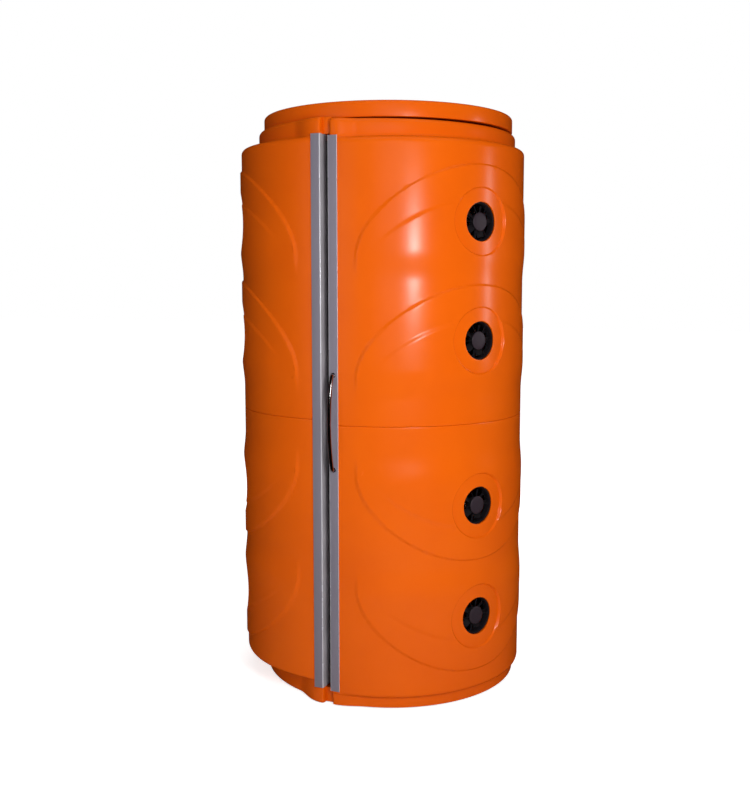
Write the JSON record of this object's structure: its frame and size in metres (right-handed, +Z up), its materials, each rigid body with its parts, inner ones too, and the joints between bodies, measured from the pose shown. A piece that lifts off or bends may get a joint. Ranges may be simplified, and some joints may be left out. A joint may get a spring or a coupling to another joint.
{
  "type": "vertical tanning booth",
  "caption": "Upright cylindrical tanning booth with a hinged curved door, embossed side shells, wall fans, a ring of lamps and a ventilated lid.",
  "frame": {"origin": "centre of the base on the floor, on the cabin's upright axis", "axes": "+Z up, -Y towards the user at the entrance seam, +X towards the door's side"},
  "size_m": [1.132, 1.128, 2.2],
  "materials": {
    "orange_shell": "high gloss orange gel coat",
    "anodised": "satin anodised",
    "dark_chrome": "polished",
    "black_plastic": "moulded black",
    "rotor_plastic": "moulded dark grey",
    "seal_rubber": "soft black",
    "zinc_steel": "zinc plated sheet",
    "lamp_glass": "white coated tube",
    "rail_white": "white",
    "mirror_sheet": "polished reflector sheet",
    "white_steel": "white powder coat",
    "dark_steel": "black powder coat",
    "panel_black": "gloss black",
    "start_green": "gloss",
    "stop_red": "gloss",
    "mat_rubber": "ribbed",
    "deck_grey": "textured grey"
  },
  "bodies": {
    "cabinet": {"ballast_rack": "zinc_steel", "ballasts": "dark_steel", "base_pan": "dark_steel", "catch_magnets": "black_plastic", "ceiling_hangers": "zinc_steel", "ceiling_panel": "white_steel", "console_column": "white_steel", "control_panel": "panel_black", "deck_mat": "mat_rubber", "exhaust_grilles": "dark_steel", "exhaust_housing": "dark_steel", "grab_bar": "zinc_steel", "hinge_brackets": "zinc_steel", "inlet_gland": "black_plastic", "left_collar": "orange_shell", "left_edge_profile": "anodised", "left_fan_frames": "black_plastic", "left_fan_guards": "black_plastic", "left_lamp_rails": "rail_white", "left_lamps": "lamp_glass", "left_lower_shell": "orange_shell", "left_plinth": "orange_shell", "left_reflector": "mirror_sheet", "left_upper_shell": "orange_shell", "rear_lamp_rails": "rail_white", "rear_lamps": "lamp_glass", "rear_louvres": "dark_steel", "rear_lower_cover": "orange_shell", "rear_posts": "dark_steel", "rear_reflector": "mirror_sheet", "rear_upper_cover": "orange_shell", "standing_deck": "deck_grey", "switch_frame": "black_plastic", "top_cap": "orange_shell"},
    "door": {"catch_strikes": "zinc_steel", "door_collar": "orange_shell", "door_edge_profile": "anodised", "door_fan_frames": "black_plastic", "door_fan_guards": "black_plastic", "door_handle": "dark_chrome", "door_hinge_leaves": "zinc_steel", "door_lamp_rails": "rail_white", "door_lamps": "lamp_glass", "door_lower_shell": "orange_shell", "door_plinth": "orange_shell", "door_reflector": "mirror_sheet", "door_seal": "seal_rubber", "door_upper_shell": "orange_shell"},
    "door_fan_1": {"door_fan_rotor_1": "rotor_plastic"},
    "door_fan_2": {"door_fan_rotor_2": "rotor_plastic"},
    "door_fan_3": {"door_fan_rotor_3": "rotor_plastic"},
    "door_fan_4": {"door_fan_rotor_4": "rotor_plastic"},
    "left_fan_1": {"left_fan_rotor_1": "rotor_plastic"},
    "left_fan_2": {"left_fan_rotor_2": "rotor_plastic"},
    "left_fan_3": {"left_fan_rotor_3": "rotor_plastic"},
    "left_fan_4": {"left_fan_rotor_4": "rotor_plastic"},
    "exhaust_fan": {"exhaust_rotor": "rotor_plastic"},
    "start_key": {"start_button": "start_green"},
    "stop_key": {"stop_button": "stop_red"},
    "switch_rocker": {"main_switch": "stop_red"}
  },
  "joints": [
    {"name": "door_hinge", "type": "hinge", "parent": "cabinet", "child": "door", "pos_m": [0.43946, 0.28539, 1.1], "axis": [0, 0, 1], "range_deg": [0, 105]},
    {"name": "door_fan_1_spin", "type": "hinge", "parent": "door", "child": "door_fan_1", "pos_m": [0.49373, -0.30131, 1.777], "axis": [0.8771, -0.4802, 0], "continuous": true},
    {"name": "door_fan_2_spin", "type": "hinge", "parent": "door", "child": "door_fan_2", "pos_m": [0.49373, -0.30131, 1.352], "axis": [0.8771, -0.4802, 0], "continuous": true},
    {"name": "door_fan_3_spin", "type": "hinge", "parent": "door", "child": "door_fan_3", "pos_m": [0.49373, -0.30131, 0.745], "axis": [0.8771, -0.4802, 0], "continuous": true},
    {"name": "door_fan_4_spin", "type": "hinge", "parent": "door", "child": "door_fan_4", "pos_m": [0.49373, -0.30131, 0.326], "axis": [0.8771, -0.4802, 0], "continuous": true},
    {"name": "left_fan_1_spin", "type": "hinge", "parent": "cabinet", "child": "left_fan_1", "pos_m": [-0.49373, -0.30131, 1.788], "axis": [-0.8771, -0.4802, 0], "continuous": true},
    {"name": "left_fan_2_spin", "type": "hinge", "parent": "cabinet", "child": "left_fan_2", "pos_m": [-0.49373, -0.30131, 1.366], "axis": [-0.8771, -0.4802, 0], "continuous": true},
    {"name": "left_fan_3_spin", "type": "hinge", "parent": "cabinet", "child": "left_fan_3", "pos_m": [-0.49373, -0.30131, 0.765], "axis": [-0.8771, -0.4802, 0], "continuous": true},
    {"name": "left_fan_4_spin", "type": "hinge", "parent": "cabinet", "child": "left_fan_4", "pos_m": [-0.49373, -0.30131, 0.348], "axis": [-0.8771, -0.4802, 0], "continuous": true},
    {"name": "exhaust_fan_spin", "type": "hinge", "parent": "cabinet", "child": "exhaust_fan", "pos_m": [0, 0, 2.154], "axis": [0, 0, 1], "continuous": true},
    {"name": "start_press", "type": "slide", "parent": "cabinet", "child": "start_key", "axis": [0, 1, 0], "range_m": [0, 0.003], "stiffness_N_per_m": 400},
    {"name": "stop_press", "type": "slide", "parent": "cabinet", "child": "stop_key", "axis": [0, 1, 0], "range_m": [0, 0.003], "stiffness_N_per_m": 400},
    {"name": "main_switch_rock", "type": "hinge", "parent": "cabinet", "child": "switch_rocker", "pos_m": [0, 0.486, 0.29], "axis": [1, 0, 0], "range_deg": [-12, 12]}
  ]
}
